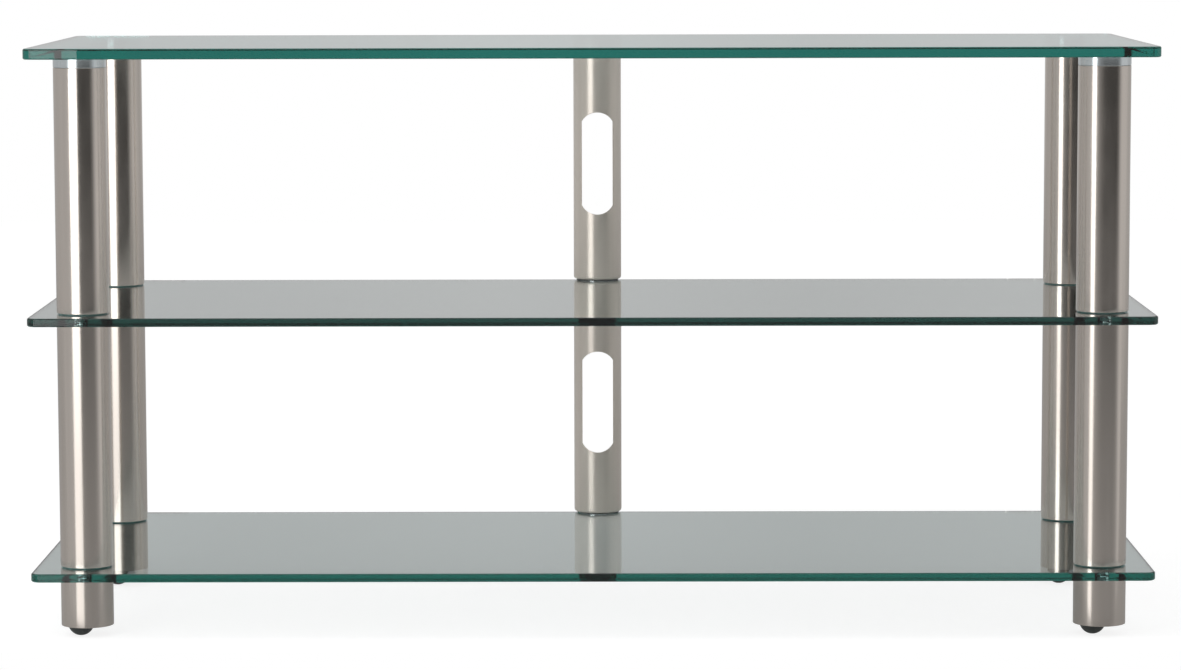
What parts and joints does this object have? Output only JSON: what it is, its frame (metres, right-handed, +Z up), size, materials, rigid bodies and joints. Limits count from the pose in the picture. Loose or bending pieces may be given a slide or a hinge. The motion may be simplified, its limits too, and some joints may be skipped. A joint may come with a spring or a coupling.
{
  "type": "audio equipment rack",
  "caption": "Low glass rack for audio equipment: three clear panels on round steel posts, with a slotted cable channel behind.",
  "frame": {"origin": "on the floor under the middle of the glass: the centre of the bottom of the bounding box", "axes": "+X to the right as seen from the front, +Y from front to back, +Z up"},
  "size_m": [1.065, 0.4, 0.563],
  "materials": {
    "glass": "clear float glass with a green tint at its edges, polished arrises",
    "satin_steel": "satin steel tube, faint vertical grain",
    "aluminium": "fine turned aluminium with a bevelled edge",
    "plated_steel": "bright zinc plate",
    "clear_vinyl": "clear soft vinyl, looks dark on edge",
    "black_rubber": "smooth moulded black rubber"
  },
  "bodies": {
    "frame": {"top_glass": "glass", "middle_glass_shelf": "glass", "bottom_glass_shelf": "glass", "front_left_bonded_disc": "aluminium", "front_left_upper_tube": "satin_steel", "front_left_middle_sleeved_washer": "clear_vinyl", "front_left_middle_plain_washer": "clear_vinyl", "front_left_middle_stud": "plated_steel", "front_left_lower_tube": "satin_steel", "front_left_bottom_sleeved_washer": "clear_vinyl", "front_left_bottom_plain_washer": "clear_vinyl", "front_left_bottom_stud": "plated_steel", "front_left_foot_tube": "satin_steel", "front_right_bonded_disc": "aluminium", "front_right_upper_tube": "satin_steel", "front_right_middle_sleeved_washer": "clear_vinyl", "front_right_middle_plain_washer": "clear_vinyl", "front_right_middle_stud": "plated_steel", "front_right_lower_tube": "satin_steel", "front_right_bottom_sleeved_washer": "clear_vinyl", "front_right_bottom_plain_washer": "clear_vinyl", "front_right_bottom_stud": "plated_steel", "front_right_foot_tube": "satin_steel", "rear_left_bonded_disc": "aluminium", "rear_left_upper_tube": "satin_steel", "rear_left_middle_sleeved_washer": "clear_vinyl", "rear_left_middle_plain_washer": "clear_vinyl", "rear_left_middle_stud": "plated_steel", "rear_left_lower_tube": "satin_steel", "rear_left_bottom_sleeved_washer": "clear_vinyl", "rear_left_bottom_plain_washer": "clear_vinyl", "rear_left_bottom_stud": "plated_steel", "rear_left_foot_tube": "satin_steel", "rear_right_bonded_disc": "aluminium", "rear_right_upper_tube": "satin_steel", "rear_right_middle_sleeved_washer": "clear_vinyl", "rear_right_middle_plain_washer": "clear_vinyl", "rear_right_middle_stud": "plated_steel", "rear_right_lower_tube": "satin_steel", "rear_right_bottom_sleeved_washer": "clear_vinyl", "rear_right_bottom_plain_washer": "clear_vinyl", "rear_right_bottom_stud": "plated_steel", "rear_right_foot_tube": "satin_steel", "upper_cable_channel": "satin_steel", "lower_cable_channel": "satin_steel", "middle_notch_grommet": "black_rubber", "bottom_notch_grommet": "black_rubber", "channel_top_pad": "clear_vinyl"},
    "front_left_foot": {"front_left_foot_pad": "black_rubber"},
    "front_left_stem": {"front_left_foot_stem": "plated_steel"},
    "front_right_foot": {"front_right_foot_pad": "black_rubber"},
    "front_right_stem": {"front_right_foot_stem": "plated_steel"},
    "rear_left_foot": {"rear_left_foot_pad": "black_rubber"},
    "rear_left_stem": {"rear_left_foot_stem": "plated_steel"},
    "rear_right_foot": {"rear_right_foot_pad": "black_rubber"},
    "rear_right_stem": {"rear_right_foot_stem": "plated_steel"}
  },
  "joints": [
    {"name": "front_left_foot_lift", "type": "slide", "parent": "frame", "child": "front_left_foot", "axis": [0, 0, -1], "range_m": [0, 0.008]},
    {"name": "front_left_stem_turn", "type": "hinge", "parent": "front_left_foot", "child": "front_left_stem", "pos_m": [-0.4913, -0.1475, 0.03], "axis": [0, 0, -1], "range_deg": [0, 2304]},
    {"name": "front_right_foot_lift", "type": "slide", "parent": "frame", "child": "front_right_foot", "axis": [0, 0, -1], "range_m": [0, 0.008]},
    {"name": "front_right_stem_turn", "type": "hinge", "parent": "front_right_foot", "child": "front_right_stem", "pos_m": [0.4787, -0.1475, 0.03], "axis": [0, 0, -1], "range_deg": [0, 2304]},
    {"name": "rear_left_foot_lift", "type": "slide", "parent": "frame", "child": "rear_left_foot", "axis": [0, 0, -1], "range_m": [0, 0.008]},
    {"name": "rear_left_stem_turn", "type": "hinge", "parent": "rear_left_foot", "child": "rear_left_stem", "pos_m": [-0.4913, 0.1475, 0.03], "axis": [0, 0, -1], "range_deg": [0, 2304]},
    {"name": "rear_right_foot_lift", "type": "slide", "parent": "frame", "child": "rear_right_foot", "axis": [0, 0, -1], "range_m": [0, 0.008]},
    {"name": "rear_right_stem_turn", "type": "hinge", "parent": "rear_right_foot", "child": "rear_right_stem", "pos_m": [0.4787, 0.1475, 0.03], "axis": [0, 0, -1], "range_deg": [0, 2304]}
  ],
  "couplings": [
    {"joint": "front_left_foot_lift", "follows": "front_left_stem_turn", "m_per_rad": 0.00019894},
    {"joint": "front_right_foot_lift", "follows": "front_right_stem_turn", "m_per_rad": 0.00019894},
    {"joint": "rear_left_foot_lift", "follows": "rear_left_stem_turn", "m_per_rad": 0.00019894},
    {"joint": "rear_right_foot_lift", "follows": "rear_right_stem_turn", "m_per_rad": 0.00019894}
  ]
}
